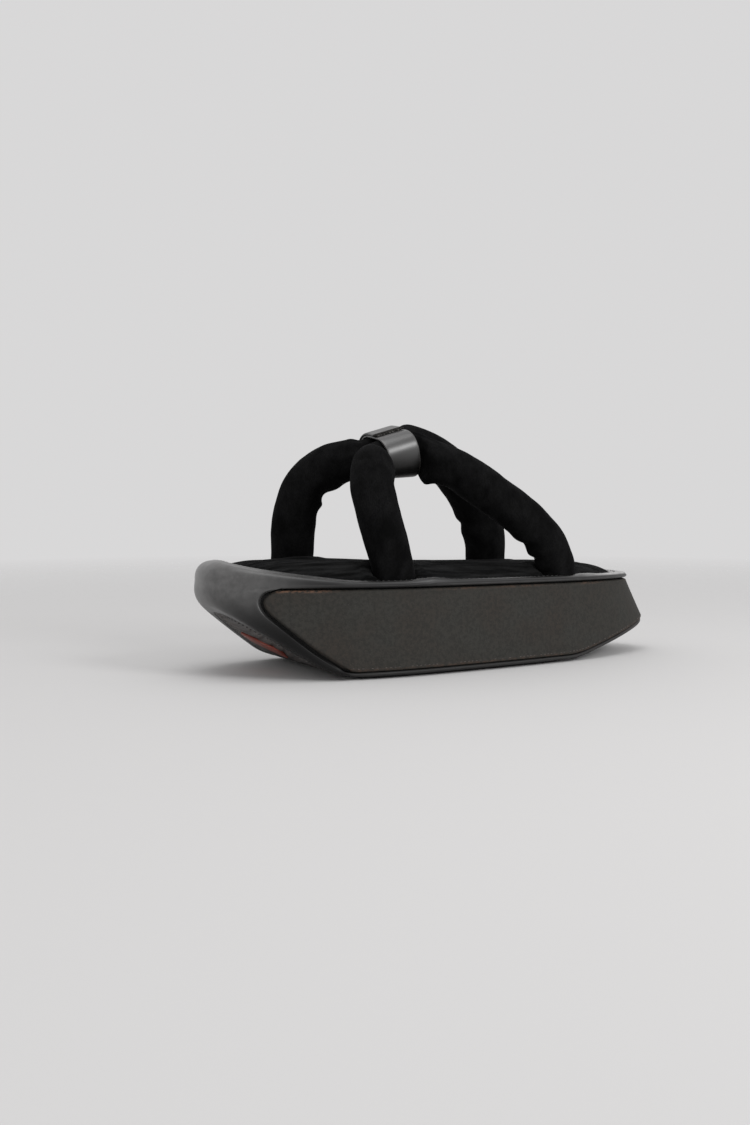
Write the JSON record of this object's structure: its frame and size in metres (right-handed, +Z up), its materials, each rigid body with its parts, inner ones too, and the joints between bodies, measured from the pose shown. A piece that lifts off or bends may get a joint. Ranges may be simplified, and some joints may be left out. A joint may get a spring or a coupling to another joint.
{
  "type": "sandal",
  "caption": "Left slide sandal with a rocker platform sole, a padded footbed and stuffed tube straps gathered over the instep by a lapped leather keeper.",
  "frame": {"origin": "on the floor, under the middle of the sandal's box", "axes": "+Y towards the toe, +X towards the big-toe side, +Z up"},
  "size_m": [0.107, 0.2924, 0.1389],
  "materials": {
    "rubber": "matte moulded rubber",
    "panel_leather": "matte grained side panel",
    "smooth_leather": "satin smooth leather",
    "footbed_suede": "napped suede",
    "strap_velour": "napped velour over a soft filling",
    "keeper_leather": "glossy smooth leather with raw cut edges"
  },
  "bodies": {
    "root": {"outsole": "rubber", "platform": "panel_leather", "leather_cover": "smooth_leather", "footbed": "footbed_suede", "strap_upper": "strap_velour", "strap_keeper": "keeper_leather"}
  },
  "joints": []
}
